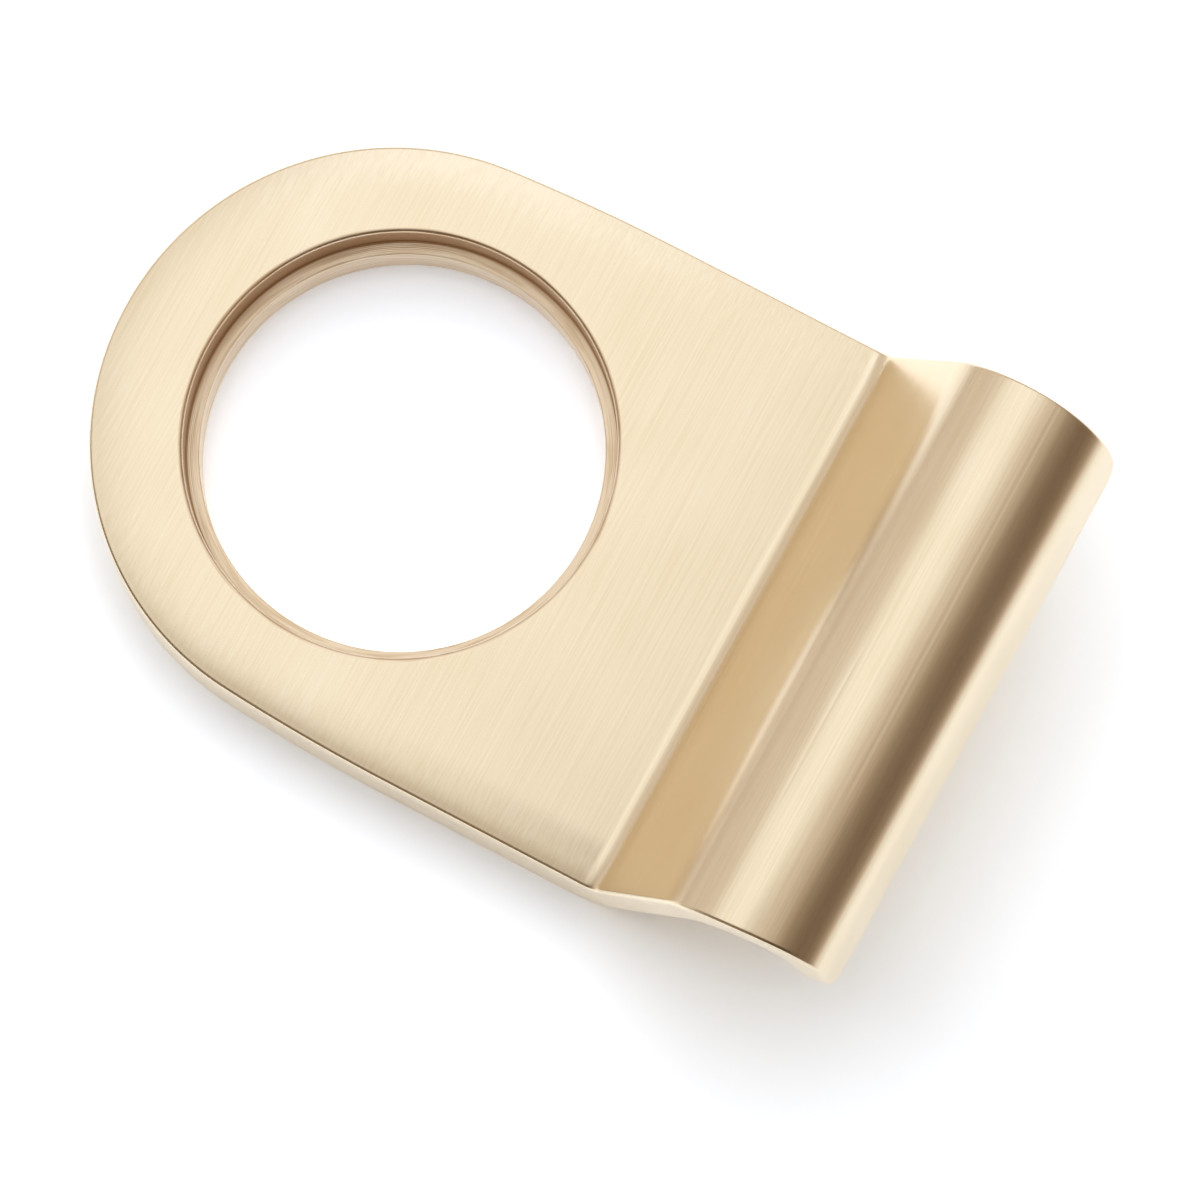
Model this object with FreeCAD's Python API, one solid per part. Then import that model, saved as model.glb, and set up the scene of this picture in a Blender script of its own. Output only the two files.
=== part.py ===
import FreeCAD, Part
import math
import os
from FreeCAD import Vector

# Cylinder pull handle: one brass casting, a round-headed plate whose straight end turns up into a hook.
# Frame: origin on the back face at the centre of the hole, +Z out of the door, +Y from the hole
# towards the tip of the hook, +X across the plate.
# Driving dimensions, in millimetres, and in degrees where the name says angle.

# plate outline
plate_thickness = 7.0
half_width = 25.0
crown_inset = 0.55
crown_offset = 0.95
shoulder_y = 12.0
side_bow_start_y = 41.0
side_bow_radius = 84.0
draft_angle = 0.5

# hole for the lock cylinder and its flange
bore_radius = 16.5
ledge_width = 1.1
flange_depth = 3.2
rim_chamfer = 0.4

# soft roll-off along the plate's top edge, and the flat left between it and the hole's rim
flat_land = 2.05
roll_angle = 12.0

# softened outer edges
edge_round = 0.3

# hook, seen from the side
hook_wall = 3.0
tip_wall = 1.6
projection = 23.8
ramp_foot_y = 31.5
ramp_angle = 61.0
crease_radius = 2.0
root_radius = 6.0
shoulder_radius = 9.3
nose_radius = 5.5
nose_angle = 45.0
front_radius = 7.4
front_angle = 81.0
front_run = 4.0
tip_corner_radius = 2.0

# sizes that follow: the round head, the flange's seat, and the width that rolls off beyond the flat
crown_radius = half_width - crown_inset
flange_radius = bore_radius + ledge_width
roll_width = crown_radius - flange_radius - rim_chamfer - flat_land

# how far drawn and cutting solids reach past the metal, and the roll-off's arc past the wall
clear = 5.0
overrun = 0.6

# length and angle within which surfaces count as meeting smoothly
near = 0.001
smooth_angle = 15.0


def point(y, z):
    return Vector(0.0, y, z)


def heading(angle):
    """Unit vector in the side view, angle up from +Y."""
    return Vector(0.0, math.cos(math.radians(angle)), math.sin(math.radians(angle)))


def inward(angle):
    """Unit vector from the outer skin of the hook to its inner skin."""
    return Vector(0.0, math.sin(math.radians(angle)), -math.cos(math.radians(angle)))


def arc_end(start, angle, end_angle, radius):
    """End of an arc that bends downwards from one heading to another."""
    centre = start + inward(angle) * radius
    return centre - inward(end_angle) * radius


def bend(start, angle, end_angle, radius, depth):
    """Edge of a downward bend, lying depth below the outer skin."""
    middle_angle = (angle + end_angle) / 2
    ends = [(start, angle),
            (arc_end(start, angle, middle_angle, radius), middle_angle),
            (arc_end(start, angle, end_angle, radius), end_angle)]
    a, b, c = [p + inward(h) * depth for p, h in ends]
    return Part.Arc(a, b, c).toShape()


def hook_stations():
    """Outer skin of the hook: the point and heading where each bend starts and ends."""
    foot = point(ramp_foot_y, plate_thickness)
    slope = math.radians(ramp_angle)
    ramp_rise = projection - shoulder_radius * (1 - math.cos(slope)) - plate_thickness
    ramp_end = foot + heading(ramp_angle) * (ramp_rise / math.sin(slope))
    crest = arc_end(ramp_end, ramp_angle, 0.0, shoulder_radius)
    nose_end = arc_end(crest, 0.0, -nose_angle, nose_radius)
    front_end = arc_end(nose_end, -nose_angle, -front_angle, front_radius)
    tip = front_end + heading(-front_angle) * front_run
    return foot, ramp_end, crest, nose_end, front_end, tip


def valley(corner, angle, radius):
    """Upward bend from flat to the given angle that replaces a corner."""
    reach = radius * math.tan(math.radians(angle / 2))
    start = corner - heading(0.0) * reach
    end = corner + heading(angle) * reach
    centre = start - inward(0.0) * radius
    middle = centre + inward(angle / 2) * radius
    return start, end, Part.Arc(start, middle, end).toShape()


def front_taper(nose_end, inner_tip):
    """Angle at which the inner skin leaves the front's bend to run straight to its tip."""
    centre = nose_end + inward(-nose_angle) * front_radius
    ahead = inner_tip - centre
    return math.degrees(math.asin((front_radius - hook_wall) / ahead.Length) - math.atan2(ahead.z, ahead.y))


def side_section():
    """Closed section of plate and hook in the plane of symmetry."""
    foot, ramp_end, crest, nose_end, front_end, tip = hook_stations()
    head_y = -(crown_radius + crown_offset + clear)
    inner_tip = tip + inward(-front_angle) * tip_wall
    taper_angle = front_taper(nose_end, inner_tip)
    ramp_bend = (ramp_end, ramp_angle, 0.0, shoulder_radius)
    nose_bend = (crest, 0.0, -nose_angle, nose_radius)
    outer = [bend(*ramp_bend, 0.0),
             bend(*nose_bend, 0.0),
             bend(nose_end, -nose_angle, -front_angle, front_radius, 0.0)]
    inner = [bend(*ramp_bend, hook_wall),
             bend(*nose_bend, hook_wall),
             bend(nose_end, -nose_angle, -taper_angle, front_radius, hook_wall)]
    inner_ramp_end = ramp_end + inward(ramp_angle) * hook_wall
    fall = inner_ramp_end.z / math.sin(math.radians(ramp_angle))
    root_corner = inner_ramp_end - heading(ramp_angle) * fall
    root_start, root_end, root = valley(root_corner, ramp_angle, root_radius)
    taper_start = arc_end(nose_end, -nose_angle, -taper_angle, front_radius) + inward(-taper_angle) * hook_wall
    edges = [Part.makeLine(point(head_y, 0.0), point(head_y, plate_thickness)),
             Part.makeLine(point(head_y, plate_thickness), foot),
             Part.makeLine(foot, ramp_end)]
    edges += outer
    edges += [Part.makeLine(front_end, tip),
              Part.makeLine(tip, inner_tip),
              Part.makeLine(inner_tip, taper_start)]
    edges += inner
    edges += [Part.makeLine(inner_ramp_end, root_end),
              root,
              Part.makeLine(root_start, point(head_y, 0.0))]
    return Part.Face(Part.Wire(Part.__sortEdges__(edges)))


def section_bar():
    """The side section drawn out across the full width."""
    reach = half_width + clear
    face = side_section()
    face.translate(Vector(-reach, 0, 0))
    return face.extrude(Vector(2 * reach, 0, 0))


def outline_edges(inset, z, end_y):
    """Plan outline from the hook's end on +X round the crown to its end on -X, as edges at height z."""
    flank_radius = ((half_width ** 2 + (shoulder_y + crown_offset) ** 2 - crown_radius ** 2)
                    / (2 * (half_width - crown_radius)))
    flank_x = half_width - flank_radius
    join = math.atan2(shoulder_y + crown_offset, flank_x) - math.pi
    flank_r = flank_radius - inset
    crown_r = crown_radius - inset
    bow_x = half_width - side_bow_radius
    bow_r = side_bow_radius - inset
    bow_turn = math.asin((end_y - side_bow_start_y) / bow_r)

    def on_bow(turn):
        return Vector(bow_x + bow_r * math.cos(turn), side_bow_start_y + bow_r * math.sin(turn), z)

    def on_flank(turn):
        return Vector(flank_x + flank_r * math.cos(turn), shoulder_y + flank_r * math.sin(turn), z)

    def on_crown(turn):
        return Vector(crown_r * math.cos(turn), -crown_offset + crown_r * math.sin(turn), z)

    def mirrored(p):
        return Vector(-p.x, p.y, p.z)

    bow = [on_bow(bow_turn), on_bow(bow_turn / 2), on_bow(0.0)]
    flank = [on_flank(0.0), on_flank(join / 2), on_flank(join)]
    edges = [Part.Arc(*bow).toShape(),
             Part.makeLine(bow[2], flank[0]),
             Part.Arc(*flank).toShape(),
             Part.Arc(flank[2], on_crown(-math.pi / 2), mirrored(flank[2])).toShape(),
             Part.Arc(*[mirrored(p) for p in reversed(flank)]).toShape(),
             Part.makeLine(mirrored(flank[0]), mirrored(bow[2])),
             Part.Arc(*[mirrored(p) for p in reversed(bow)]).toShape()]
    return edges


def draft_at(z):
    return z * math.tan(math.radians(draft_angle))


def outline_block():
    """The plan outline raised to the hook's full height, its walls drawn in by the draft."""
    end_y = hook_stations()[-1].y + clear
    wires = []
    for z in (0.0, projection + clear):
        edges = outline_edges(draft_at(z), z, end_y)
        start = edges[0].valueAt(edges[0].FirstParameter)
        last = edges[-1].valueAt(edges[-1].LastParameter)
        wires.append(Part.Wire(edges + [Part.makeLine(last, start)]))
    return Part.makeLoft(wires, True, True)


def roll_off_section(wall, outward):
    """Section of the metal taken off the plate's top edge, where the wall's top would stand."""
    roll_radius = roll_width / math.sin(math.radians(roll_angle))
    past_wall = math.asin((roll_width + overrun) / roll_radius)
    up = Vector(0, 0, 1)
    flat_end = wall - outward * roll_width

    def on_arc(turn):
        return flat_end + outward * (roll_radius * math.sin(turn)) - up * (roll_radius * (1 - math.cos(turn)))

    a, b, c = on_arc(0.0), on_arc(past_wall / 2), on_arc(past_wall)
    over = c + up * clear
    back = Vector(a.x, a.y, over.z)
    edges = [Part.Arc(a, b, c).toShape(), Part.makeLine(c, over),
             Part.makeLine(over, back), Part.makeLine(back, a)]
    return Part.Face(Part.Wire(edges))


def roll_off_along(edge):
    """That section drawn along one line or round one arc of the outline."""
    start = edge.valueAt(edge.FirstParameter)
    run = edge.valueAt(edge.LastParameter) - start
    if edge.Curve.TypeId == "Part::GeomCircle":
        centre = edge.Curve.Center
        turn = math.degrees(edge.Length / edge.Curve.Radius)
        section = roll_off_section(start, (start - centre).normalize())
        return section.revolve(centre, Vector(0, 0, -1), turn)
    outward = Vector(0, 0, 1).cross(run).normalize()
    return roll_off_section(start, outward).extrude(run)


def roll_off():
    """Metal taken off round the plate's top edge, stopping at the ramp."""
    foot = hook_stations()[0]
    edges = outline_edges(draft_at(plate_thickness), plate_thickness, foot.y + clear)
    pieces = [roll_off_along(edge) for edge in edges]
    return pieces[0].multiFuse(pieces[1:]).cut(behind_ramp())


def behind_ramp():
    """Everything on the hook's side of the ramp plane."""
    foot = hook_stations()[0]
    reach = half_width + 2 * clear
    low = foot - heading(ramp_angle) * 3 * clear
    high = foot + heading(ramp_angle) * 3 * clear
    far = Vector(0, 6 * clear, 0)
    corners = [low, high, high + far, low + far, low]
    face = Part.Face(Part.makePolygon(corners))
    face.translate(Vector(-reach, 0, 0))
    return face.extrude(Vector(2 * reach, 0, 0))


def hole():
    """The through bore and the wider seat for the cylinder's flange, with a chamfered rim."""
    seat_z = plate_thickness - flange_depth
    rim_r = flange_radius + rim_chamfer
    below = -clear
    above = plate_thickness + clear
    section = [(0, below), (bore_radius, below), (bore_radius, seat_z), (flange_radius, seat_z),
               (flange_radius, plate_thickness - rim_chamfer), (rim_r, plate_thickness),
               (rim_r, above), (0, above), (0, below)]
    face = Part.Face(Part.makePolygon([Vector(r, 0, z) for r, z in section]))
    return face.revolve(Vector(0, 0, 0), Vector(0, 0, 1), 360)


def on_ramp(p):
    foot = hook_stations()[0]
    return abs((p - foot).dot(inward(ramp_angle))) < near


def crease_edges(body):
    """Where the plate's top meets the ramp."""
    lowest = plate_thickness - roll_width * math.tan(math.radians(roll_angle))
    found = []
    for edge in body.Edges:
        a, b = edge.valueAt(edge.FirstParameter), edge.valueAt(edge.LastParameter)
        at_top = min(a.z, b.z) > lowest and max(a.z, b.z) < plate_thickness + near
        if at_top and on_ramp(a) and on_ramp(b):
            found.append(edge)
    return found


def tip_corners(body):
    """The short edges across the hook's wall where its free end meets the sides."""
    ahead = heading(-front_angle)
    tip = hook_stations()[-1]
    across = inward(-front_angle)
    found = []
    for edge in body.Edges:
        a, b = edge.valueAt(edge.FirstParameter), edge.valueAt(edge.LastParameter)
        at_end = abs((a - tip).dot(ahead)) < near and abs((b - tip).dot(ahead)) < near
        if at_end and abs(abs((b - a).dot(across)) - tip_wall) < near:
            found.append(edge)
    return found


def sharp_edges(body):
    """Edges whose two faces meet at an angle."""
    found = []
    for edge in body.Edges:
        middle = edge.valueAt((edge.FirstParameter + edge.LastParameter) / 2)
        normals = []
        for face in body.ancestorsOfType(edge, Part.Face):
            u, v = face.Surface.parameter(middle)
            normals.append(face.normalAt(u, v))
        if len(normals) == 2 and normals[0].getAngle(normals[1]) > math.radians(smooth_angle):
            found.append(edge)
    return found


def casting():
    body = section_bar().common(outline_block())
    body = body.cut(roll_off()).removeSplitter()
    body = body.makeFillet(crease_radius, crease_edges(body))
    body = body.makeFillet(tip_corner_radius, tip_corners(body))
    body = body.makeFillet(edge_round, sharp_edges(body))
    return body.cut(hole())


os.makedirs("parts", exist_ok=True)
handle = casting()
print("solids", len(handle.Solids), "valid", handle.isValid(), "volume", round(handle.Volume, 1))
print("box", handle.optimalBoundingBox(False, False))
handle.exportStep("parts/pull_handle.step")
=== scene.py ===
import bmesh
import bpy
import math
from mathutils import Matrix, Vector


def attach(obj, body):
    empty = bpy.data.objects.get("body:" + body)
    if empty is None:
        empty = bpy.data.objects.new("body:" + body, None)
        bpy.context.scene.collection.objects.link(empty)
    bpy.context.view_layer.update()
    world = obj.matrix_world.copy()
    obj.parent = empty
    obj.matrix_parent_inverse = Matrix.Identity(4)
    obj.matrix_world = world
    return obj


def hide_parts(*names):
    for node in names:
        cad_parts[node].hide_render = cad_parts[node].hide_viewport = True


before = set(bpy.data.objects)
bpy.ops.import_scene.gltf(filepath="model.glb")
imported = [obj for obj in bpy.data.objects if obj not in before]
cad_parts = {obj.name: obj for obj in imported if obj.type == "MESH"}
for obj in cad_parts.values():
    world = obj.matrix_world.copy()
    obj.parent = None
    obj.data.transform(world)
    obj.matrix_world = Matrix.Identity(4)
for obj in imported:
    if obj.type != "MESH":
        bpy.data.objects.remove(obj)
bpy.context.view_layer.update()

# Cylinder pull handle: a cast brass plate with a round head, a stepped hole and a hooked finger grip.
# Sizes are in millimetres and degrees here, and become metres where a mesh or a node is made.
mm = 0.001
weldGap = 0.0005 * mm         # points nearer than this become one


def hexToLinear(text):
    # an sRGB hex value as the linear colour that a node takes
    channels = [int(text[i:i + 2], 16) / 255 for i in (1, 3, 5)]
    return [c / 12.92 if c <= 0.04045 else ((c + 0.055) / 1.055) ** 2.4 for c in channels] + [1.0]


def addNode(tree, kind, links=None, **settings):
    # links maps an input's name or number to a value, to an output, or to a node for its first output in use
    node = tree.nodes.new(kind)
    for name, value in settings.items():
        setattr(node, name, value)
    for key, value in (links or {}).items():
        named = [socket for socket in node.inputs if socket.enabled and socket.name == key]
        socket = named[0] if named else node.inputs[key]
        if isinstance(value, bpy.types.Node):
            value = next(output for output in value.outputs if output.enabled)
        if isinstance(value, bpy.types.NodeSocket):
            tree.links.new(value, socket)
        else:
            socket.default_value = value
    return node


def newMaterial(name):
    material = bpy.data.materials.new(name)
    material.use_nodes = True
    material.node_tree.nodes.clear()
    return material, material.node_tree


brushedFinish = {
    "crestColour": "#F4E5C9",
    "grooveColour": "#EDDCBC",
    "wornRange": (0.52, 0.98),       # how deep in the strokes and patches the two colours lie
    "roughness": 0.27,
    "hairSpacing": 0.2,       # a real brush leaves about 0.05, drawn coarser so that it shows
    "hairLength": 11.0,
    "hairTurn": 5.0,          # the strokes lie a little off square to the plate
    "hairDepth": 0.003,
    "hairRaggedness": 0.6,
    "reliefStrength": 0.6,
    "patchSize": 9.0,         # soft light and dark patches where the brush pressed more or less
    "patchWeight": 0.5,
    "softDetail": 1.0,        # patches and bands have little fine detail
    "bandSpacing": 0.9,       # shallow bands that the polishing wheel left along the hook
    "bandLength": 90.0,
    "bandDepth": 0.02,
    "bandHeights": (8.0, 14.0),      # they start between these heights
    # fine lines that the wheel's edge left along the hook's crest: distance from the hole, and both ends
    "wheelLines": [(47.5, -27.0, 13.0), (44.25, -27.0, -9.0), (43.0, -1.0, 16.0)],
    "lineHalfWidth": 0.25,
    "lineDepth": 0.016,
    "lineFade": 4.0,
    "lineFloor": (20.0, 20.8),       # they are on the outer skin only, above these heights
}


def addWheelLines(tree, place, relief, finish):
    # lowers a relief along the wheel's lines. Each is a shallow groove that fades out at its ends
    axes = addNode(tree, "ShaderNodeSeparateXYZ", {0: place}).outputs
    fade = finish["lineFade"]
    for distance, start, end in finish["wheelLines"]:
        past = addNode(tree, "ShaderNodeMath", {0: axes["Y"], 1: distance * mm}, operation="SUBTRACT")
        gap = addNode(tree, "ShaderNodeMath", {0: past}, operation="ABSOLUTE")
        groove = finish["lineDepth"] / finish["hairDepth"]
        # along each of these there is no groove at the first limit, and all of it at the second
        for value, none, full in ((gap, finish["lineHalfWidth"], 0.0), (axes["Z"], *finish["lineFloor"]),
                                  (axes["X"], start, start + fade), (axes["X"], end, end - fade)):
            share = addNode(tree, "ShaderNodeMapRange", {"Value": value, "From Min": none * mm,
                                                         "From Max": full * mm},
                            interpolation_type="SMOOTHSTEP")
            groove = addNode(tree, "ShaderNodeMath", {0: share, 1: groove}, operation="MULTIPLY")
        relief = addNode(tree, "ShaderNodeMath", {0: relief, 1: groove}, operation="SUBTRACT")
    return relief


def brushedBrass(finish):
    # satin brushed brass: pale champagne metal with soft reflections and faint strokes across the width
    material, tree = newMaterial("satin brushed brass")
    place = addNode(tree, "ShaderNodeTexCoord").outputs["Object"]
    strokes, along = 1 / (finish["hairSpacing"] * mm), 1 / (finish["hairLength"] * mm)
    slant = math.radians(finish["hairTurn"])
    slanted = addNode(tree, "ShaderNodeMapping", {"Vector": place, "Rotation": (0, 0, slant),
                                                  "Scale": (along, strokes, strokes)})
    hairs = addNode(tree, "ShaderNodeTexNoise", {"Vector": slanted, "Scale": 1.0,
                                                 "Roughness": finish["hairRaggedness"]})
    patches = addNode(tree, "ShaderNodeTexNoise", {"Vector": place, "Scale": 1 / (finish["patchSize"] * mm),
                                                   "Detail": finish["softDetail"]})
    worn = addNode(tree, "ShaderNodeMath", {0: patches, 1: finish["patchWeight"], 2: hairs},
                   operation="MULTIPLY_ADD")
    groove, crest = finish["wornRange"]
    share = addNode(tree, "ShaderNodeMapRange", {"Value": worn, "From Min": groove, "From Max": crest})
    colour = addNode(tree, "ShaderNodeMix", {"Factor": share, "A": hexToLinear(finish["grooveColour"]),
                                             "B": hexToLinear(finish["crestColour"])}, data_type="RGBA")
    long, wide = 1 / (finish["bandLength"] * mm), 1 / (finish["bandSpacing"] * mm)
    straight = addNode(tree, "ShaderNodeMapping", {"Vector": place, "Scale": (long, wide, wide)})
    bands = addNode(tree, "ShaderNodeTexNoise", {"Vector": straight, "Scale": 1.0,
                                                 "Detail": finish["softDetail"]})
    height = addNode(tree, "ShaderNodeSeparateXYZ", {0: place}).outputs["Z"]
    lower, upper = [z * mm for z in finish["bandHeights"]]
    onHook = addNode(tree, "ShaderNodeMapRange", {"Value": height, "From Min": lower, "From Max": upper,
                                                  "To Max": finish["bandDepth"] / finish["hairDepth"]})
    relief = addNode(tree, "ShaderNodeMath", {0: bands, 1: onHook, 2: hairs}, operation="MULTIPLY_ADD")
    relief = addWheelLines(tree, place, relief, finish)
    bump = addNode(tree, "ShaderNodeBump", {"Height": relief, "Strength": finish["reliefStrength"],
                                            "Distance": finish["hairDepth"] * mm})
    shader = addNode(tree, "ShaderNodeBsdfPrincipled", {"Base Color": colour, "Metallic": 1.0,
                                                        "Roughness": finish["roughness"], "Normal": bump})
    addNode(tree, "ShaderNodeOutputMaterial", {"Surface": shader})
    return material


turnedFinish = {
    "colour": "#EEDABD",
    "markColour": "#DBC2A0",
    "markRange": (0.36, 0.56),       # how deep in the marks the two colours lie
    "markSpacing": 0.2,       # turned marks, drawn coarser than a lathe leaves them
    "marksRound": 3.5,        # how soon a mark changes along its way round, in changes to a radian
    "wallShadeColour": "#9E7852",  # painted shade: the wall of the recess is painted a darker brown that stands in for the shade inside the recess
    "wallShadeInside": (0.22, 0.04),      # the painted shade starts this far inside the wall
    "wallShadeAbove": (0.08, 0.2),        # and ends this far up the rim's round
    "roughness": 0.3,
}


def turnedBrass(finish, s):
    # brass left from the lathe: the same metal with fine rings round the hole, and painted shade on the
    # recess's wall
    material, tree = newMaterial("turned brass seat")
    place = addNode(tree, "ShaderNodeTexCoord").outputs["Object"]
    axes = addNode(tree, "ShaderNodeSeparateXYZ", {0: place}).outputs
    flat = addNode(tree, "ShaderNodeCombineXYZ", {"X": axes["X"], "Y": axes["Y"]})
    radius = addNode(tree, "ShaderNodeVectorMath", {0: flat}, operation="LENGTH")
    direction = addNode(tree, "ShaderNodeVectorMath", {0: flat}, operation="NORMALIZE")
    across = addNode(tree, "ShaderNodeMath", {0: radius, 1: axes["Z"]}, operation="SUBTRACT")
    across = addNode(tree, "ShaderNodeMath", {0: across, 1: 1 / (finish["markSpacing"] * mm)},
                     operation="MULTIPLY")
    lifted = addNode(tree, "ShaderNodeCombineXYZ", {"Z": across})
    along = (finish["marksRound"], finish["marksRound"], 0)
    swept = addNode(tree, "ShaderNodeVectorMath", {0: direction, 1: along, 2: lifted},
                    operation="MULTIPLY_ADD")
    marks = addNode(tree, "ShaderNodeTexNoise", {"Vector": swept, "Scale": 1.0})
    low, high = finish["markRange"]
    share = addNode(tree, "ShaderNodeMapRange", {"Value": marks, "From Min": low, "From Max": high})
    bright = addNode(tree, "ShaderNodeMix", {"Factor": share, "A": hexToLinear(finish["markColour"]),
                                             "B": hexToLinear(finish["colour"])}, data_type="RGBA")
    # painted shade: a mask over the recess's wall, where the darker brown stands in for the shade there
    inner, outer = [(s["flangeRadius"] - gap) * mm for gap in finish["wallShadeInside"]]
    onShadedWall = addNode(tree, "ShaderNodeMapRange", {"Value": radius, "From Min": inner, "From Max": outer})
    lower, upper = [(s["plateThickness"] - s["rimRound"] + gap) * mm for gap in finish["wallShadeAbove"]]
    onShadedWall = addNode(tree, "ShaderNodeMapRange", {"Value": axes["Z"], "From Min": lower, "From Max": upper,
                                                  "To Min": onShadedWall, "To Max": 0.0})
    colour = addNode(tree, "ShaderNodeMix", {"Factor": onShadedWall, "A": bright,
                                             "B": hexToLinear(finish["wallShadeColour"])}, data_type="RGBA")
    shader = addNode(tree, "ShaderNodeBsdfPrincipled", {"Base Color": colour, "Metallic": 1.0,
                                                        "Roughness": finish["roughness"]})
    addNode(tree, "ShaderNodeOutputMaterial", {"Surface": shader})
    return material


castingShape = {
    "plateThickness": 7.0,
    "halfWidth": 25.0,
    "crownInset": 0.55,       # how much narrower the round head is than the straight sides
    "crownOffset": 0.95,      # centre of the head, below the centre of the hole
    "shoulderY": 12.0,        # where the straight sides start
    "bowStartY": 41.0,        # where the sides start to bow in towards the hook's end
    "bowRadius": 84.0,
    "draftAngle": 0.5,
    "rollWidth": 4.4,         # soft roll-off along the plate's top edge
    "rollAngle": 12.0,
    "edgeRound": 0.3,
    "boreRadius": 16.5,
    "ledgeWidth": 1.1,
    "flangeDepth": 3.2,
    "rimRound": 0.4,
    "hookWall": 3.0,
    "tipWall": 1.6,
    "projection": 23.8,
    "rampFootY": 31.5,
    "rampAngle": 61.0,
    "creaseRadius": 2.0,
    "rootRadius": 6.0,
    "shoulderRadius": 9.3,
    "noseRadius": 5.5,
    "noseAngle": 45.0,
    "frontRadius": 7.4,
    "frontAngle": 81.0,
    "frontRun": 4.0,
    "tipCornerRadius": 2.0,
    "sharpAngle": 40.0,       # a bend over this is shaded as an edge
    # how finely the mesh is divided
    "seamY": 23.0,            # where the round plate's mesh meets the hook's mesh
    "stepsAround": 288,       # points round the hole
    "flatColumns": 64,
    "flatShares": (0.2, 0.45, 0.7, 0.9),     # rings on the flat, from the hole to the roll-off
    "bandSteps": 14,
    "roundSteps": 6,
    "wallSteps": 4,
    "sideSteps": 18,
    "flankSteps": 26,
    "bendSteps": 16,          # round the crease, the root and the front
    "rootSteps": 4,
    "rampShares": (0.012, 0.1, 0.22, 0.36, 0.5, 0.64, 0.78, 0.9, 0.985),     # closer at the ramp's ends
    "crestSteps": 40,
    "noseSteps": 32,
    "tipSteps": 20,
    # a narrow row this far from a bend keeps its shading off the flat
    "creaseLead": 0.1,
    "edgeLead": 0.05,
    "rimLead": 0.06,
}


def heading(angle):
    # unit vector in the side view, angle up from +Y
    return Vector((0, math.cos(math.radians(angle)), math.sin(math.radians(angle))))


def inward(angle):
    # unit vector from the hook's outer skin to its inner skin
    return Vector((0, math.sin(math.radians(angle)), -math.cos(math.radians(angle))))


def outwardAt(angle):
    # unit vector in the plan, angle in radians round from +X
    return Vector((math.cos(angle), math.sin(angle), 0))


def mirrored(point):
    return Vector((-point.x, point.y, point.z))


def spread(start, end, steps, skipFirst=False):
    return [start + (end - start) * i / steps for i in range(1 if skipFirst else 0, steps + 1)]


def valley(corner, angle, radius, steps):
    # points and angles of an upward bend that replaces a corner
    start = corner - heading(0) * (radius * math.tan(math.radians(angle) / 2))
    centre = start + Vector((0, 0, radius))
    return [(centre + inward(a) * radius, a) for a in spread(0.0, angle, steps)]


def softCorner(corner, arriving, leaving, radius, steps):
    # points of the arc that replaces a corner between two directions
    turn = arriving.angle(leaving)
    start = corner - arriving * (radius * math.tan(turn / 2))
    side = (leaving - arriving * leaving.dot(arriving)).normalized()
    return [start + arriving * (radius * math.sin(a)) + side * (radius * (1 - math.cos(a)))
            for a in spread(0.0, turn, steps)]


def followedSizes(shape):
    # the given sizes with those that follow from them
    s = dict(shape)
    roll = math.radians(s["rollAngle"])
    s["crownRadius"] = s["halfWidth"] - s["crownInset"]
    s["flangeRadius"] = s["boreRadius"] + s["ledgeWidth"]
    s["rimRadius"] = s["flangeRadius"] + s["rimRound"]
    s["seatZ"] = s["plateThickness"] - s["flangeDepth"]
    s["draft"] = math.tan(math.radians(s["draftAngle"]))
    s["rollRadius"] = s["rollWidth"] / math.sin(roll)
    s["rollDrop"] = s["rollRadius"] * (1 - math.cos(roll))
    s["topHalfWidth"] = s["halfWidth"] - s["draft"] * s["plateThickness"]
    s["reach"] = s["edgeRound"] * math.tan((math.pi / 2 - roll) / 2) * math.cos(roll)
    s["insets"] = spread(s["rollWidth"], s["reach"] + s["edgeLead"], s["bandSteps"] - 1) + [s["reach"]]
    return s


def rollDropAt(s, inset):
    # how far the plate's top has fallen, this far in from the wall
    run = max(0.0, s["rollWidth"] - inset)
    return s["rollRadius"] - math.sqrt(s["rollRadius"] ** 2 - run ** 2)


def halfWidthAt(s, y, z):
    bow = 0.0
    if y > s["bowStartY"]:
        bow = s["bowRadius"] - math.sqrt(s["bowRadius"] ** 2 - (y - s["bowStartY"]) ** 2)
    return s["halfWidth"] - bow - z * s["draft"]


def outlineStations(s):
    # the plate's outline from the seam on -X round the head to the seam on +X: place and outward direction
    lift = s["shoulderY"] + s["crownOffset"]
    flankRadius = (s["halfWidth"] ** 2 + lift ** 2 - s["crownRadius"] ** 2) / (2 * s["crownInset"])
    flankX = s["halfWidth"] - flankRadius
    join = math.atan2(lift, -flankX)
    side = []
    for y in spread(s["seamY"], s["shoulderY"], s["sideSteps"]):
        side.append((Vector((s["halfWidth"], y, 0)), Vector((1, 0, 0))))
    for a in spread(0.0, -join, s["flankSteps"], True):
        side.append((Vector((flankX, s["shoulderY"], 0)) + outwardAt(a) * flankRadius, outwardAt(a)))
    crownSteps = s["stepsAround"] - s["flatColumns"] - 2 * (s["sideSteps"] + s["flankSteps"])
    crown = []
    for a in spread(math.pi + join, 2 * math.pi - join, crownSteps)[1:-1]:
        crown.append((Vector((0, -s["crownOffset"], 0)) + outwardAt(a) * s["crownRadius"], outwardAt(a)))
    return [(mirrored(p), mirrored(d)) for p, d in side] + crown + side[::-1]


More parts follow.
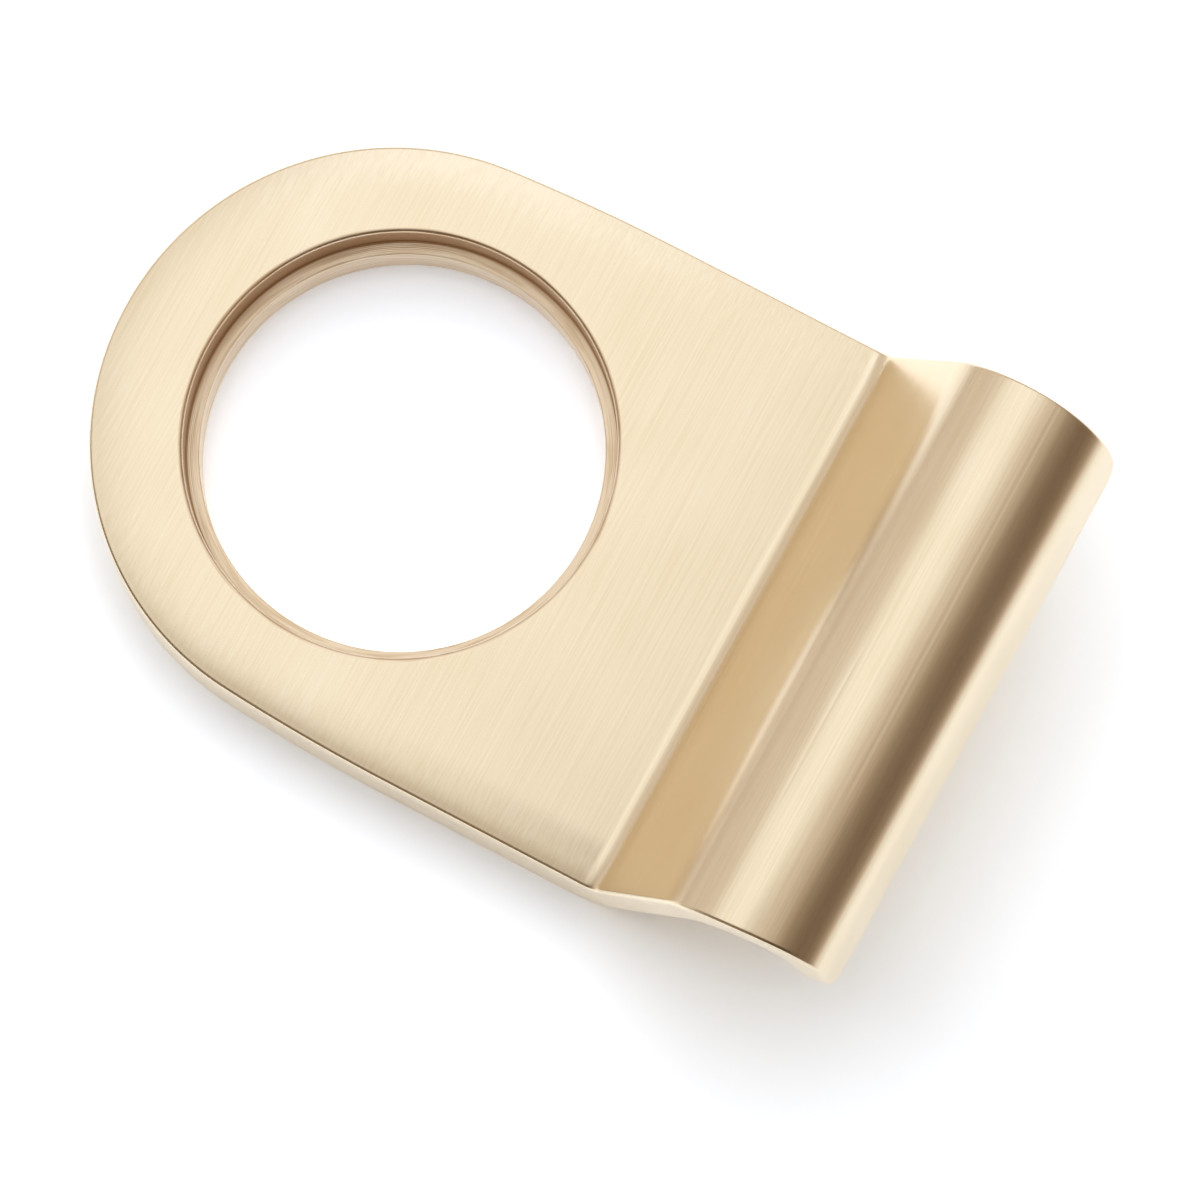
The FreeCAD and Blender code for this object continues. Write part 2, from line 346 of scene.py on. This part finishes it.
def hookRows(s):
    # rows of the hook's mesh from the seam to the tip. Each has a place and angle of the outer skin, its
    # place on the inner skin, how the roll-off shifts it, the share of the crease passed and the turn round
    # the tip's corner
    slope = math.radians(s["rampAngle"])
    throughRamp = inward(s["rampAngle"]) * s["hookWall"]
    foot = Vector((0, s["rampFootY"], s["plateThickness"]))
    rise = s["projection"] - s["shoulderRadius"] * (1 - math.cos(slope)) - s["plateThickness"]
    rampEnd = foot + heading(s["rampAngle"]) * (rise / math.sin(slope))
    innerRampEnd = rampEnd + throughRamp
    rootCorner = innerRampEnd - heading(s["rampAngle"]) * (innerRampEnd.z / math.sin(slope))
    crease = valley(foot, s["rampAngle"], s["creaseRadius"], s["bendSteps"])
    root = valley(rootCorner, s["rampAngle"], s["rootRadius"], s["bendSteps"])
    creaseStart, creaseEnd = crease[0][0], crease[-1][0]
    sag = Vector((0, -1 / math.tan(slope), -1))
    rows = []

    def add(outer, angle, inner=None, sagging=None, share=1.0, turn=0.0, innerAngle=None):
        rows.append({"outer": outer, "angle": angle, "inner": inner or outer + inward(angle) * s["hookWall"],
                     "innerAngle": angle if innerAngle is None else innerAngle, "sag": sagging or Vector(),
                     "share": share, "turn": turn})

    # plate and crease above, back and root below
    back = [Vector((0, y, 0)) for y in spread(s["seamY"], root[0][0].y, s["rootSteps"])][:-1]
    back += [p for p, a in root]
    back += [root[-1][0].lerp(creaseEnd + throughRamp, t) for t in spread(0.0, 1.0, s["rootSteps"], True)]
    flat = spread(s["seamY"], creaseStart.y - s["creaseLead"], len(back) - len(crease) - 1)
    for i, y in enumerate(flat):
        passed = (y - s["seamY"]) / (creaseStart.y - s["seamY"])
        add(Vector((0, y, s["plateThickness"])), 0.0, back[i], Vector((0, sag.y * passed, -1)), 0.0)
    for (outer, angle), inner in zip(crease, back[len(flat):]):
        add(outer, angle, inner, sag, angle / s["rampAngle"])
    for t in s["rampShares"]:
        add(creaseEnd.lerp(rampEnd, t), s["rampAngle"], sagging=sag * (1 - t))

    def bend(start, angle, endAngle, radius, steps, skipFirst=False):
        centre = start + inward(angle) * radius
        for a in spread(angle, endAngle, steps, skipFirst):
            add(centre - inward(a) * radius, a)
        return centre - inward(endAngle) * radius

    crest = bend(rampEnd, s["rampAngle"], 0.0, s["shoulderRadius"], s["crestSteps"])
    noseEnd = bend(crest, 0.0, -s["noseAngle"], s["noseRadius"], s["noseSteps"], True)
    # the front falls to the tip, its inner skin leaving the bend early to thin the wall. The last stretch
    # follows the rounded corners
    centre = noseEnd + inward(-s["noseAngle"]) * s["frontRadius"]
    frontEnd = centre - inward(-s["frontAngle"]) * s["frontRadius"]
    tip = frontEnd + heading(-s["frontAngle"]) * s["frontRun"]
    innerTip = tip + inward(-s["frontAngle"]) * s["tipWall"]
    ahead = innerTip - centre
    innerRadius = s["frontRadius"] - s["hookWall"]
    taperAngle = math.degrees(math.asin(innerRadius / ahead.length) - math.atan2(ahead.z, ahead.y))
    taperStart = centre - inward(-taperAngle) * innerRadius

    def onBendAndRun(distance, radius, endAngle, bendEnd):
        bendLength = math.radians(endAngle - s["noseAngle"]) * radius
        if distance > bendLength:
            return bendEnd + heading(-endAngle) * (distance - bendLength), -endAngle
        angle = -s["noseAngle"] - math.degrees(distance / radius)
        return centre - inward(angle) * radius, angle

    outerLength = math.radians(s["frontAngle"] - s["noseAngle"]) * s["frontRadius"] + s["frontRun"]
    innerLength = math.radians(taperAngle - s["noseAngle"]) * innerRadius + (innerTip - taperStart).length
    cornerStart = outerLength - s["tipCornerRadius"]

    def addFront(distance, turn=0.0):
        outer, angle = onBendAndRun(distance, s["frontRadius"], s["frontAngle"], frontEnd)
        innerDistance = distance / outerLength * innerLength
        inner, innerAngle = onBendAndRun(innerDistance, innerRadius, taperAngle, taperStart)
        add(outer, angle, inner, turn=turn, innerAngle=innerAngle)

    for distance in spread(0.0, cornerStart, s["bendSteps"], True):
        addFront(distance)
    for turn in spread(0.0, 90.0, s["tipSteps"], True):
        addFront(cornerStart + s["tipCornerRadius"] * math.sin(math.radians(turn)), turn)
    return rows


def edgeSection(s, topCorner, arriving, bottomCorner, leaving):
    # softened upper edge, wall and softened lower edge at one place of the outline
    down = (bottomCorner - topCorner).normalized()
    upper = softCorner(topCorner, arriving, down, s["edgeRound"], s["roundSteps"])
    lower = softCorner(bottomCorner, down, leaving, s["edgeRound"], s["roundSteps"])
    return upper + [upper[-1].lerp(lower[0], t) for t in spread(0.0, 1.0, s["wallSteps"], True)[:-1]] + lower


def sideSection(s, row):
    # the section at one row, on the +X side
    turn = math.radians(row["turn"])
    corner = s["tipCornerRadius"] * (1 - math.cos(turn))
    tilt = math.radians(s["rollAngle"]) * (1 - row["share"])
    topCorner, bottomCorner = [Vector((halfWidthAt(s, p.y, p.z) - corner, p.y, p.z))
                               for p in (row["outer"] + row["sag"] * s["rollDrop"], row["inner"])]
    arriving = Vector((math.cos(tilt), 0, -math.sin(tilt))) * math.cos(turn)
    arriving += heading(row["angle"]) * math.sin(turn)
    leaving = -Vector((math.cos(turn), 0, 0)) - heading(row["innerAngle"]) * math.sin(turn)
    return edgeSection(s, topCorner, arriving, bottomCorner, leaving)


def buildCasting(s):
    vertices, faces = [], []
    up = Vector((0, 0, 1))

    def put(point):
        vertices.append(point * mm)
        return len(vertices) - 1

    def join(a, b, closed=False):
        for i in range(len(a) if closed else len(a) - 1):
            j = (i + 1) % len(a)
            faces.append((a[i], b[i], b[j], a[j]))

    rows = hookRows(s)
    sections = [sideSection(s, row) for row in rows]
    # columns as shares of the half width that is left inside the softened edge
    edge = s["topHalfWidth"] - s["reach"]
    outerColumns = [(s["topHalfWidth"] - inset) / edge for inset in s["insets"]]
    flat = [outerColumns[0] * v for v in spread(-1.0, 1.0, s["flatColumns"])]
    columns = [-c for c in outerColumns[:0:-1]] + flat + outerColumns[1:]
    top, under, right, left = [], [], [], []
    for row, section in zip(rows, sections):
        rightIds = [put(p) for p in section]
        leftIds = [put(mirrored(p)) for p in section]
        right.append(rightIds)
        left.append(leftIds)
        wide, innerWide = section[0].x, section[-1].x
        centre, innerCentre = row["outer"], row["inner"]
        if row["turn"] > 0:
            centre = Vector((0, section[0].y, section[0].z))
            innerCentre = Vector((0, section[-1].y, section[-1].z))
        topIds, underIds = [leftIds[0]], [leftIds[-1]]
        for share in columns[1:-1]:
            drop = 0.0
            if row["sag"].length > 0:
                drop = rollDropAt(s, s["topHalfWidth"] - abs(share) * edge)
            topIds.append(put(centre + row["sag"] * drop + Vector((share * wide, 0, 0))))
            underIds.append(put(innerCentre + Vector((share * innerWide, 0, 0))))
        top.append(topIds + [rightIds[0]])
        under.append(underIds + [rightIds[-1]])
    for k in range(len(rows) - 1):
        join(top[k + 1], top[k])
        join(under[k], under[k + 1])
    # across the tip
    ahead, innerAhead = heading(rows[-1]["angle"]), heading(rows[-1]["innerAngle"])
    outer, inner = rows[-1]["outer"], rows[-1]["inner"]
    tipLoop = []
    for c in range(len(columns) - 2, 0, -1):
        topCorner = Vector((columns[c] * sections[-1][0].x, outer.y, outer.z))
        bottomCorner = Vector((columns[c] * sections[-1][-1].x, inner.y, inner.z))
        section = edgeSection(s, topCorner, ahead, bottomCorner, -innerAhead)
        tipLoop.append([top[-1][c]] + [put(p) for p in section[1:-1]] + [under[-1][c]])
    # round the plate: band of the roll-off, edge and wall, and the back
    cornerInset = s["draft"] * (s["plateThickness"] - s["rollDrop"])
    tilt = math.radians(s["rollAngle"])
    ratio = (s["halfWidth"] - s["edgeRound"]) / edge
    plateLoop, topBands, backBands = [], [], []
    for place, out in outlineStations(s)[1:-1]:
        topCorner = place - out * cornerInset + up * (s["plateThickness"] - s["rollDrop"])
        section = edgeSection(s, topCorner, out * math.cos(tilt) - up * math.sin(tilt), place, -out)
        ids = [put(p) for p in section]
        plateLoop.append(ids)
        topBand, backBand = [], []
        wall = place - out * (s["draft"] * s["plateThickness"])
        for inset in s["insets"][:-1]:
            topBand.append(put(wall - out * inset + up * (s["plateThickness"] - rollDropAt(s, inset))))
            backBand.append(put(place - out * (s["halfWidth"] - (s["topHalfWidth"] - inset) * ratio)))
        topBands.append(topBand + [ids[0]])
        backBands.append(backBand + [ids[-1]])
    # the seam's own points belong to the hook's first row
    half = len(outerColumns)
    topBands = [top[0][:half][::-1]] + topBands + [top[0][-half:]]
    backBands = [under[0][:half][::-1]] + backBands + [under[0][-half:]]
    for a, b in zip(topBands, topBands[1:]):
        join(b, a)
    for a, b in zip(backBands, backBands[1:]):
        join(a, b)
    loop = right + tipLoop + left[::-1] + plateLoop
    for a, b in zip(loop, loop[1:] + loop[:1]):
        for i in range(len(a) - 1):
            faces.append((a[i], a[i + 1], b[i + 1], b[i]))

    def flatRings(outerLoop, radius, z):
        # rings of the flat from the hole to the bands
        start = vertices[outerLoop[0]]
        steps = s["stepsAround"]
        first = round(math.atan2(start.y, start.x) / (2 * math.pi) * steps)
        angles = [2 * math.pi * (first + i) / steps for i in range(steps)]
        rings = [[outwardAt(a) * (radius + grow) + up * z for a in angles] for grow in (0.0, s["rimLead"])]
        outerPoints = [vertices[i] / mm for i in outerLoop]
        for share in s["flatShares"]:
            rings.append([p.lerp(q, share) for p, q in zip(rings[1], outerPoints)])
        return [[put(p) for p in ring] for ring in rings] + [outerLoop]

    seamFlat = top[0][half - 1:len(columns) - half + 1][::-1]
    topRings = flatRings(seamFlat + [b[0] for b in topBands[1:-1]], s["rimRadius"], s["plateThickness"])
    for a, b in zip(topRings, topRings[1:]):
        join(a, b, True)
    seamUnder = under[0][half - 1:len(columns) - half + 1][::-1]
    backRings = flatRings(seamUnder + [b[0] for b in backBands[1:-1]], s["boreRadius"], 0.0)
    for a, b in zip(backRings, backRings[1:]):
        join(b, a, True)
    mesh = bpy.data.meshes.new("casting body")
    mesh.from_pydata(vertices, [], faces)
    return mesh


seatShape = {
    "edgeRound": 0.1,         # broken edge between ledge and bore
    "ringCount": 7,           # turned rings across the ledge, coarser than a lathe leaves so that they show
    "ringDepth": 0.006,
    "rimRows": 8,
    "wallRows": 6,
    "ledgeRows": 56,
    "boreRows": 6,
}


def newTree(name, sizeNames, countNames):
    # a geometry tree with named inputs for its sizes
    tree = bpy.data.node_groups.new(name, "GeometryNodeTree")
    for kind, names in (("NodeSocketFloat", sizeNames), ("NodeSocketInt", countNames)):
        for inputName in names:
            tree.interface.new_socket(inputName, in_out="INPUT", socket_type=kind)
    tree.interface.new_socket("Geometry", in_out="OUTPUT", socket_type="NodeSocketGeometry")
    return tree, addNode(tree, "NodeGroupInput").outputs


def turnedZoneTree():
    # one turned zone: a strip between two radii and heights, swept round the hole. It is straight, or with a
    # bulge of 1 a quarter round
    tree, given = newTree("turned zone", ("Start Radius", "Start Height", "End Radius", "End Height", "Bulge",
                                          "Ring Count", "Ring Depth"), ("Rows", "Steps Around"))
    rowPoints = addNode(tree, "ShaderNodeMath", {0: given["Rows"], 1: 1}, operation="ADD")
    aroundPoints = addNode(tree, "ShaderNodeMath", {0: given["Steps Around"], 1: 1}, operation="ADD")
    grid = addNode(tree, "GeometryNodeMeshGrid", {"Size X": 1.0, "Size Y": 1.0, "Vertices X": rowPoints,
                                                  "Vertices Y": aroundPoints})
    # the grid lies half to each side of the origin. Moved by that half, its places count from 0 to 1
    position = addNode(tree, "GeometryNodeInputPosition")
    shares = addNode(tree, "ShaderNodeVectorMath", {0: position, 1: (0.5, 0.5, 0)}, operation="ADD")
    axes = addNode(tree, "ShaderNodeSeparateXYZ", {0: shares}).outputs
    passed = axes["X"]
    angle = addNode(tree, "ShaderNodeMath", {0: axes["Y"], 1: 2 * math.pi}, operation="MULTIPLY")
    quarter = addNode(tree, "ShaderNodeMath", {0: passed, 1: math.pi / 2}, operation="MULTIPLY")
    sine = addNode(tree, "ShaderNodeMath", {0: quarter}, operation="SINE")
    cosine = addNode(tree, "ShaderNodeMath", {0: quarter}, operation="COSINE")
    rest = addNode(tree, "ShaderNodeMath", {0: 1.0, 1: cosine}, operation="SUBTRACT")
    section = {}
    for measure, bulging in (("Radius", sine), ("Height", rest)):
        share = addNode(tree, "ShaderNodeMix", {"Factor": given["Bulge"], "A": passed, "B": bulging})
        section[measure] = addNode(tree, "ShaderNodeMix", {"Factor": share, "A": given["Start " + measure],
                                                           "B": given["End " + measure]})
    rings = addNode(tree, "ShaderNodeMath", {0: given["Ring Count"], 1: 2 * math.pi}, operation="MULTIPLY")
    rings = addNode(tree, "ShaderNodeMath", {0: passed, 1: rings}, operation="MULTIPLY")
    wave = addNode(tree, "ShaderNodeMath", {0: rings}, operation="COSINE")
    groove = addNode(tree, "ShaderNodeMapRange", {"Value": wave, "From Min": 1.0, "From Max": -1.0,
                                                  "To Max": given["Ring Depth"]})
    height = addNode(tree, "ShaderNodeMath", {0: section["Height"], 1: groove}, operation="SUBTRACT")
    place = addNode(tree, "ShaderNodeCombineXYZ", {"X": section["Radius"], "Z": height})
    swept = addNode(tree, "ShaderNodeVectorRotate", {"Vector": place, "Angle": angle}, rotation_type="Z_AXIS")
    moved = addNode(tree, "GeometryNodeSetPosition", {"Geometry": grid, "Position": swept})
    addNode(tree, "NodeGroupOutput", {0: moved})
    return tree


def turnedSeatTree(material):
    zoneTree = turnedZoneTree()
    tree, given = newTree("turned seat", ("Rim Radius", "Flange Radius", "Bore Radius", "Plate Thickness",
                                          "Seat Height", "Edge Round", "Ring Count", "Ring Depth"),
                          ("Steps Around", "Rim Rows", "Wall Rows", "Ledge Rows", "Bore Rows"))
    rim, flange, bore = given["Rim Radius"], given["Flange Radius"], given["Bore Radius"]
    plate, seat, edgeRound = given["Plate Thickness"], given["Seat Height"], given["Edge Round"]
    rimDepth = addNode(tree, "ShaderNodeMath", {0: rim, 1: flange}, operation="SUBTRACT")
    wallTop = addNode(tree, "ShaderNodeMath", {0: plate, 1: rimDepth}, operation="SUBTRACT")
    ledgeEnd = addNode(tree, "ShaderNodeMath", {0: bore, 1: edgeRound}, operation="ADD")
    boreTop = addNode(tree, "ShaderNodeMath", {0: seat, 1: edgeRound}, operation="SUBTRACT")
    # radius and height where one zone ends and the next starts, then each zone's rows, bulge and rings
    stops = [(rim, plate), (flange, wallTop), (flange, seat), (ledgeEnd, seat), (bore, boreTop), (bore, 0.0)]
    zones = [("Rim Rows", 1.0, False), ("Wall Rows", 0.0, False), ("Ledge Rows", 0.0, True),
             ("Rim Rows", 1.0, False), ("Bore Rows", 0.0, False)]
    joined = addNode(tree, "GeometryNodeJoinGeometry")
    for start, end, (rowsName, bulge, ringed) in zip(stops, stops[1:], zones):
        values = {"Start Radius": start[0], "Start Height": start[1], "End Radius": end[0],
                  "End Height": end[1], "Bulge": bulge, "Rows": given[rowsName],
                  "Steps Around": given["Steps Around"]}
        if ringed:
            values.update({"Ring Count": given["Ring Count"], "Ring Depth": given["Ring Depth"]})
        zone = addNode(tree, "GeometryNodeGroup", values, node_tree=zoneTree)
        tree.links.new(zone.outputs[0], joined.inputs[0])
    merged = addNode(tree, "GeometryNodeMergeByDistance", {"Geometry": joined, "Distance": weldGap})
    flipped = addNode(tree, "GeometryNodeFlipFaces", {"Mesh": merged})
    real = addNode(tree, "GeometryNodeRealizeInstances", {"Geometry": flipped})
    finished = addNode(tree, "GeometryNodeSetMaterial", {"Geometry": real, "Material": material})
    addNode(tree, "NodeGroupOutput", {0: finished})
    return tree


def nodesMesh(tree, values):
    # runs a tree on an empty mesh and gives the result as a plain mesh
    holder = bpy.data.objects.new("holder", bpy.data.meshes.new("holder"))
    bpy.context.scene.collection.objects.link(holder)
    modifier = holder.modifiers.new("nodes", "NODES")
    modifier.node_group = tree
    for item in tree.interface.items_tree:
        if item.in_out == "INPUT" and item.name in values:
            modifier[item.identifier] = values[item.name]
    evaluated = holder.evaluated_get(bpy.context.evaluated_depsgraph_get())
    mesh = bpy.data.meshes.new_from_object(evaluated)
    holder.modifiers.remove(modifier)
    bpy.data.objects.remove(holder)
    return mesh


def buildSeat(s, seat, material):
    values = {"Rim Radius": s["rimRadius"] * mm, "Flange Radius": s["flangeRadius"] * mm,
              "Bore Radius": s["boreRadius"] * mm, "Plate Thickness": s["plateThickness"] * mm,
              "Seat Height": s["seatZ"] * mm, "Edge Round": seat["edgeRound"] * mm,
              "Ring Count": float(seat["ringCount"]), "Ring Depth": seat["ringDepth"] * mm,
              "Steps Around": s["stepsAround"], "Rim Rows": seat["rimRows"], "Wall Rows": seat["wallRows"],
              "Ledge Rows": seat["ledgeRows"], "Bore Rows": seat["boreRows"]}
    return nodesMesh(turnedSeatTree(material), values)


sizes = followedSizes(castingShape)
brass = brushedBrass(brushedFinish)
turned = turnedBrass(turnedFinish, sizes)
print("stage: materials made")

body = buildCasting(sizes)
seat = buildSeat(sizes, seatShape, turned)
joined = bmesh.new()
joined.from_mesh(body)
bodyFaces = len(joined.faces)
joined.from_mesh(seat)
joined.faces.ensure_lookup_table()
for i, face in enumerate(joined.faces):
    face.material_index = 0 if i < bodyFaces else 1
    face.smooth = True
bmesh.ops.remove_doubles(joined, verts=joined.verts, dist=weldGap)
openEdges = sum(1 for e in joined.edges if len(e.link_faces) != 2)
volume = round(joined.calc_volume(signed=True) / mm ** 3, 1)
print("stage: casting joined,", len(joined.faces), "faces,", openEdges, "open edges, volume", volume, "mm3")
handleMesh = bpy.data.meshes.new("pull_handle_brass")
joined.to_mesh(handleMesh)
joined.free()
handleMesh.materials.append(brass)
handleMesh.materials.append(turned)
handleMesh.set_sharp_from_angle(angle=math.radians(sizes["sharpAngle"]))
handle = bpy.data.objects.new("pull_handle_brass", handleMesh)
bpy.context.scene.collection.objects.link(handle)
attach(handle, "root")
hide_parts("pull_handle")


studio = {
    "paperColour": "#EEF1F6",
    "tableColour": "#C7AA90",
    # the paper gives way to the pale wood of the table between these distances from the hole's middle
    "paperEdge": (88.0, 115.0),
    "floorHalf": 700.0,
    "dimSide": (0.85, 0.53, 0.0),    # the paper gets less light this way
    # how much whiter the paper is, as seen or mirrored, than the light it gives back, at two places that way
    "paperGain": ((-45.0, 1.4), (85.0, 2.45)),
    "paperLight": 1.5,        # the box lights the paper this much more strongly than it shows in the metal
    "boxHeight": 150.0,       # the soft box over the object
    "boxHalf": 380.0,
    # how bright the soft box is, at places across it and along it
    "boxAcross": [(-380, 0.75), (-200, 1.0), (-90, 1.05), (24, 1.05), (38, 1.05), (46, 1.0), (53, 0.82),
                  (60, 0.5), (75, 0.28), (110, 0.18), (380, 0.14)],
    "boxAlong": [(-380, 0.62), (-150, 0.71), (-95, 0.92), (-55, 1.02), (6, 1.02), (28, 0.8), (50, 0.66),
                 (75, 0.62), (100, 0.55), (125, 0.45), (160, 0.34), (210, 0.24), (380, 0.19)],
    "lensPlace": (24.0, 21.0, 150.0),
    "lensGap": (8.0, 17.0),   # the round opening for the lens, and its soft edge
    "lensLevel": 0.05,
    "windowPlace": (-112.0, -62.0, 150.0),   # cool daylight adds to the box round here
    "windowReach": (18.0, 55.0),
    "windowLevel": 0.38,
    "windowTint": "#B4C8FF",
    "darkTint": "#FFD3A6",    # where the metal mirrors dim light it is warm
    "openSide": (0.45, 0.89, 0.0),   # the light tent is open on this side, to a dim room
    "roomAlong": [(-1.0, 0.74), (-0.2, 0.55), (0.4, 0.3), (0.75, 0.19), (1.0, 0.17)],
}


def levelRamp(tree, value, low, high, stops):
    # a brightness that follows a value through the given stops
    share = addNode(tree, "ShaderNodeMapRange", {"Value": value, "From Min": low, "From Max": high})
    ramp = addNode(tree, "ShaderNodeValToRGB", {"Fac": share})
    elements = ramp.color_ramp.elements
    while len(elements) < len(stops):
        elements.new(1.0)
    for element, (key, level) in zip(elements, stops):
        element.position = (key - low) / (high - low)
        element.color = (level, level, level, 1)
    return ramp


def warmWhenDim(tree, level, setup):
    # white in full light and the dark tint in none, as metal mirrors it. The paper is lit by plain white
    isMirror = addNode(tree, "ShaderNodeLightPath").outputs["Is Glossy Ray"]
    dim = addNode(tree, "ShaderNodeMath", {0: 1.0, 1: level}, operation="SUBTRACT", use_clamp=True)
    share = addNode(tree, "ShaderNodeMath", {0: dim, 1: isMirror}, operation="MULTIPLY")
    return addNode(tree, "ShaderNodeMix", {"Factor": share, "A": hexToLinear("#FFFFFF"),
                                           "B": hexToLinear(setup["darkTint"])}, data_type="RGBA")


def levelSquare(name, half, height, material, face):
    # a level square centred over the hole
    mesh = bpy.data.meshes.new(name)
    corners = [(-half, -half, height), (half, -half, height), (half, half, height), (-half, half, height)]
    mesh.from_pydata(corners, [], [face])
    mesh.materials.append(material)
    square = bpy.data.objects.new(name, mesh)
    bpy.context.scene.collection.objects.link(square)
    return square


def makeFloor(setup):
    material, tree = newMaterial("white paper on pale wood")
    path = addNode(tree, "ShaderNodeLightPath").outputs
    seen = addNode(tree, "ShaderNodeMath", {0: path["Is Camera Ray"], 1: path["Is Glossy Ray"]},
                   operation="MAXIMUM")
    seen = addNode(tree, "ShaderNodeMath", {0: seen, 1: path["Is Transmission Ray"]}, operation="MAXIMUM")
    place = addNode(tree, "ShaderNodeTexCoord").outputs["Object"]
    distance = addNode(tree, "ShaderNodeVectorMath", {0: place}, operation="LENGTH")
    near, far = [d * mm for d in setup["paperEdge"]]
    onPaper = addNode(tree, "ShaderNodeMapRange", {"Value": distance, "From Min": far, "From Max": near})
    lean = addNode(tree, "ShaderNodeVectorMath", {0: place, 1: setup["dimSide"]}, operation="DOT_PRODUCT")
    (start, low), (end, high) = setup["paperGain"]
    extra = addNode(tree, "ShaderNodeMapRange", {"Value": lean, "From Min": start * mm, "From Max": end * mm,
                                                 "To Min": low - 1, "To Max": high - 1})
    extra = addNode(tree, "ShaderNodeMath", {0: extra, 1: onPaper}, operation="MULTIPLY")
    gain = addNode(tree, "ShaderNodeMath", {0: seen, 1: extra, 2: 1.0}, operation="MULTIPLY_ADD")
    colour = addNode(tree, "ShaderNodeMix", {"Factor": onPaper, "A": hexToLinear(setup["tableColour"]),
                                             "B": hexToLinear(setup["paperColour"])}, data_type="RGBA")
    shown = addNode(tree, "ShaderNodeVectorMath", {0: colour, "Scale": gain}, operation="SCALE")
    paper = addNode(tree, "ShaderNodeBsdfDiffuse", {"Color": shown})
    addNode(tree, "ShaderNodeOutputMaterial", {"Surface": paper})
    floor = levelSquare("floor", setup["floorHalf"] * mm, 0.0, material, (0, 1, 2, 3))


def makeSoftBox(setup):
    # a wide soft box close over the object, brightest above its upper left. The camera looks through it
    half = setup["boxHalf"] * mm
    material, tree = newMaterial("soft box cloth")
    place = addNode(tree, "ShaderNodeTexCoord").outputs["Object"]
    axes = addNode(tree, "ShaderNodeSeparateXYZ", {0: place}).outputs
    across = levelRamp(tree, axes["X"], -half, half, [(key * mm, level) for key, level in setup["boxAcross"]])
    along = levelRamp(tree, axes["Y"], -half, half, [(key * mm, level) for key, level in setup["boxAlong"]])
    level = addNode(tree, "ShaderNodeMath", {0: across, 1: along}, operation="MULTIPLY")

    def nearTo(centre, reach, atCentre, beyond):
        centre = [v * mm for v in centre]
        near, far = [r * mm for r in reach]
        gap = addNode(tree, "ShaderNodeVectorMath", {0: place, 1: centre}, operation="DISTANCE")
        return addNode(tree, "ShaderNodeMapRange", {"Value": gap, "From Min": near, "From Max": far,
                                                    "To Min": atCentre, "To Max": beyond},
                       interpolation_type="SMOOTHSTEP")

    lens = nearTo(setup["lensPlace"], setup["lensGap"], setup["lensLevel"], 1.0)
    level = addNode(tree, "ShaderNodeMath", {0: level, 1: lens}, operation="MULTIPLY")
    isMirror = addNode(tree, "ShaderNodeLightPath").outputs["Is Glossy Ray"]
    boost = addNode(tree, "ShaderNodeMix", {"Factor": isMirror, "A": setup["paperLight"], "B": 1.0})
    strength = addNode(tree, "ShaderNodeMath", {0: level, 1: boost}, operation="MULTIPLY")
    tint = warmWhenDim(tree, level, setup)
    glow = addNode(tree, "ShaderNodeEmission", {"Color": tint, "Strength": strength})
    daylight = nearTo(setup["windowPlace"], setup["windowReach"], setup["windowLevel"], 0.0)
    window = addNode(tree, "ShaderNodeEmission", {"Color": hexToLinear(setup["windowTint"]),
                                                  "Strength": daylight})
    both = addNode(tree, "ShaderNodeAddShader", {0: glow, 1: window})
    addNode(tree, "ShaderNodeOutputMaterial", {"Surface": both})
    box = levelSquare("soft box", half, setup["boxHeight"] * mm, material, (3, 2, 1, 0))
    box.visible_camera = False


def makeWorld(setup):
    world = bpy.data.worlds.new("studio")
    bpy.context.scene.world = world
    world.use_nodes = True
    tree = world.node_tree
    tree.nodes.clear()
    direction = addNode(tree, "ShaderNodeTexCoord").outputs["Generated"]
    lean = addNode(tree, "ShaderNodeVectorMath", {0: direction, 1: setup["openSide"]},
                   operation="DOT_PRODUCT")
    level = levelRamp(tree, lean, -1.0, 1.0, setup["roomAlong"])
    tint = warmWhenDim(tree, level, setup)
    back = addNode(tree, "ShaderNodeBackground", {"Color": tint, "Strength": level})
    addNode(tree, "ShaderNodeOutputWorld", {"Surface": back})


cameraView = {
    "azimuth": 48.7383,       # round from +Y, towards +X
    "elevation": 77.9035,
    "roll": -13.0957,
    "distance": 964.1,
    "lens": 356.39,
    "sensor": 36.0,
    "lookAt": (2.5435, 19.3881, -0.6),
}


def makeCamera(view):
    azimuth, elevation, roll = [math.radians(view[key]) for key in ("azimuth", "elevation", "roll")]
    towards = Vector((math.cos(elevation) * math.sin(azimuth), math.cos(elevation) * math.cos(azimuth),
                      math.sin(elevation)))
    level = (-towards).cross(Vector((0, 0, 1))).normalized()
    above = level.cross(-towards)
    right = level * math.cos(roll) + above * math.sin(roll)
    up = above * math.cos(roll) - level * math.sin(roll)
    data = bpy.data.cameras.new("camera")
    data.lens = view["lens"]
    data.sensor_width = view["sensor"]
    camera = bpy.data.objects.new("camera", data)
    place = (Vector(view["lookAt"]) + towards * view["distance"]) * mm
    camera.matrix_world = Matrix.Translation(place) @ Matrix((right, up, towards)).transposed().to_4x4()
    bpy.context.scene.collection.objects.link(camera)
    bpy.context.scene.camera = camera


makeFloor(studio)
makeSoftBox(studio)
makeWorld(studio)
makeCamera(cameraView)
bpy.context.scene.view_settings.view_transform = "Standard"
print("stage: floor, light and camera set")
